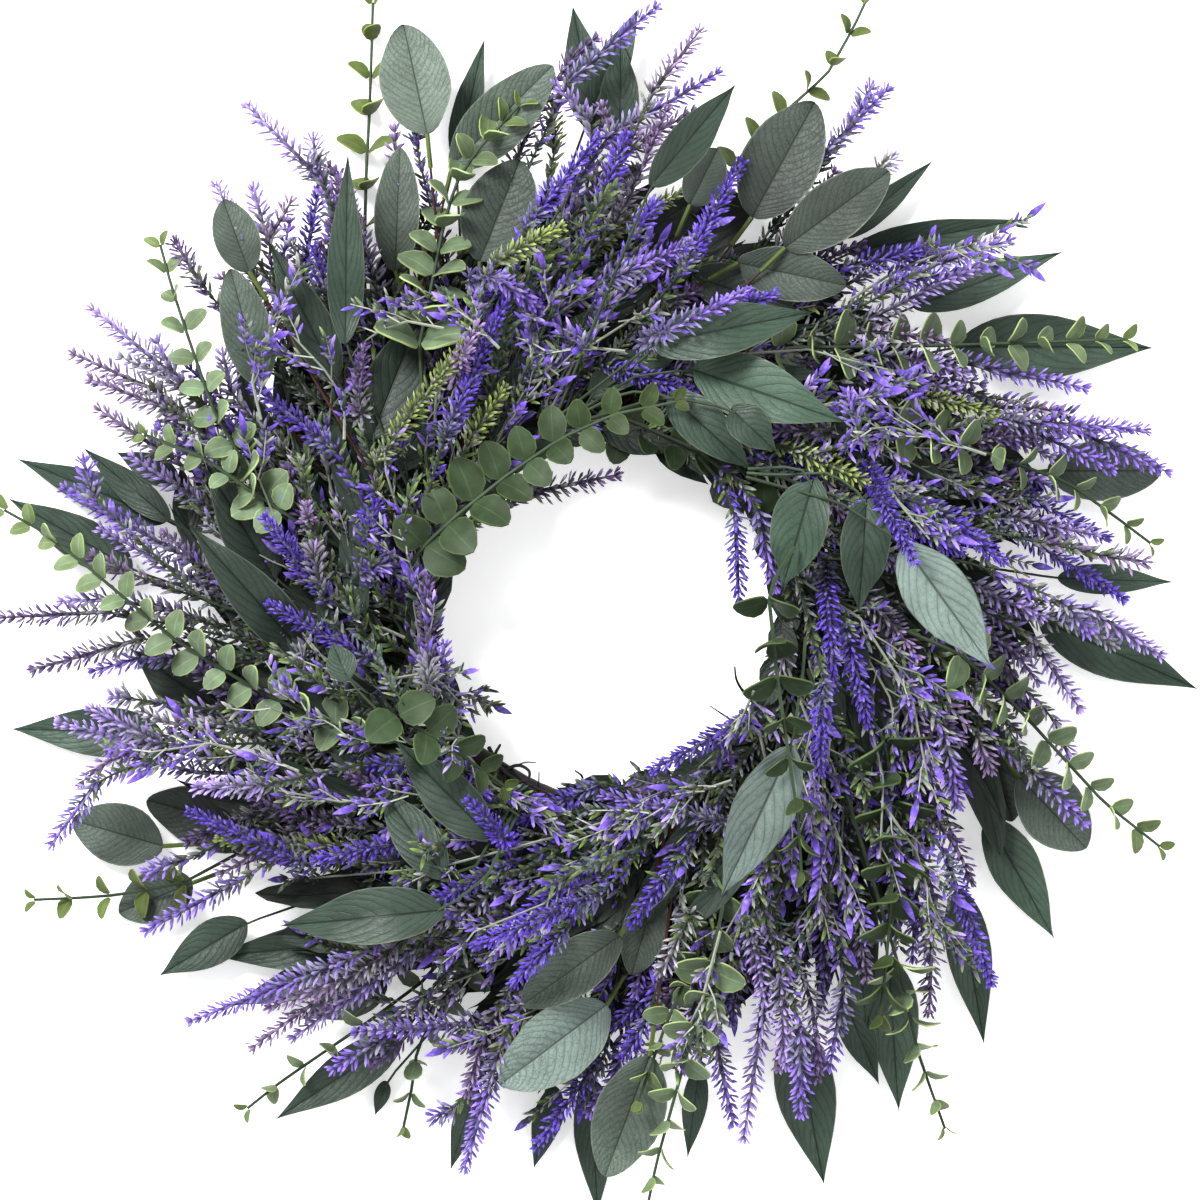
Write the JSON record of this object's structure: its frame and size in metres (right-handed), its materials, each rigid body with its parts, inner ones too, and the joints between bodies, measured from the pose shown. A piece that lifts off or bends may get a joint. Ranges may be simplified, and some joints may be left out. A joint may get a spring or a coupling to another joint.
{
  "type": "lavender wreath",
  "caption": "Round door wreath of lavender heads, lance-shaped leaves and eucalyptus sprigs tied in bunches round a hoop of twisted vine, all sweeping one way.",
  "frame": {"origin": "the hoop's centre on the surface that the wreath lies on", "axes": "+Z out of the wreath's face, +Y towards its top as it hangs"},
  "size_m": [0.5623, 0.5712, 0.1036],
  "materials": {
    "vine": "dry brown bark",
    "lavender_back": "matte lilac florets",
    "lavender_front": "matte blue-violet florets",
    "lance": "satin dark green leaf with side veins",
    "oval": "matte grey-green leaf with netted veins",
    "eucalyptus": "matte sage leaf with a pale rim"
  },
  "bodies": {
    "root": {"vine_1": "vine", "vine_2": "vine", "vine_3": "vine", "eucalyptus_1": "eucalyptus", "eucalyptus_10": "eucalyptus", "eucalyptus_11": "eucalyptus", "eucalyptus_12": "eucalyptus", "eucalyptus_2": "eucalyptus", "eucalyptus_3": "eucalyptus", "eucalyptus_4": "eucalyptus", "eucalyptus_5": "eucalyptus", "eucalyptus_7": "eucalyptus", "eucalyptus_8": "eucalyptus", "eucalyptus_9": "eucalyptus", "eucalyptus_inner_1": "eucalyptus", "eucalyptus_inner_11": "eucalyptus", "eucalyptus_inner_3": "eucalyptus", "eucalyptus_inner_8": "eucalyptus", "lance_back_1": "lance", "lance_back_10": "lance", "lance_back_12": "lance", "lance_back_3": "lance", "lance_back_5": "lance", "lance_back_6": "lance", "lance_back_7": "lance", "lance_back_9": "lance", "lance_front_1": "lance", "lance_front_10": "lance", "lance_front_11": "lance", "lance_front_3": "lance", "lance_front_5": "lance", "lance_front_8": "lance", "lavender_back_1": "lavender_back", "lavender_back_10": "lavender_back", "lavender_back_11": "lavender_back", "lavender_back_12": "lavender_back", "lavender_back_2": "lavender_back", "lavender_back_3": "lavender_back", "lavender_back_4": "lavender_back", "lavender_back_5": "lavender_back", "lavender_back_7": "lavender_back", "lavender_back_8": "lavender_back", "lavender_back_9": "lavender_back", "lavender_front_1": "lavender_front", "lavender_front_10": "lavender_front", "lavender_front_11": "lavender_front", "lavender_front_12": "lavender_front", "lavender_front_2": "lavender_front", "lavender_front_4": "lavender_front", "lavender_front_6": "lavender_front", "lavender_front_7": "lavender_front", "lavender_front_9": "lavender_front", "oval_1": "oval", "oval_10": "oval", "oval_11": "oval", "oval_3": "oval", "oval_6": "oval", "oval_8": "oval"}
  },
  "joints": []
}
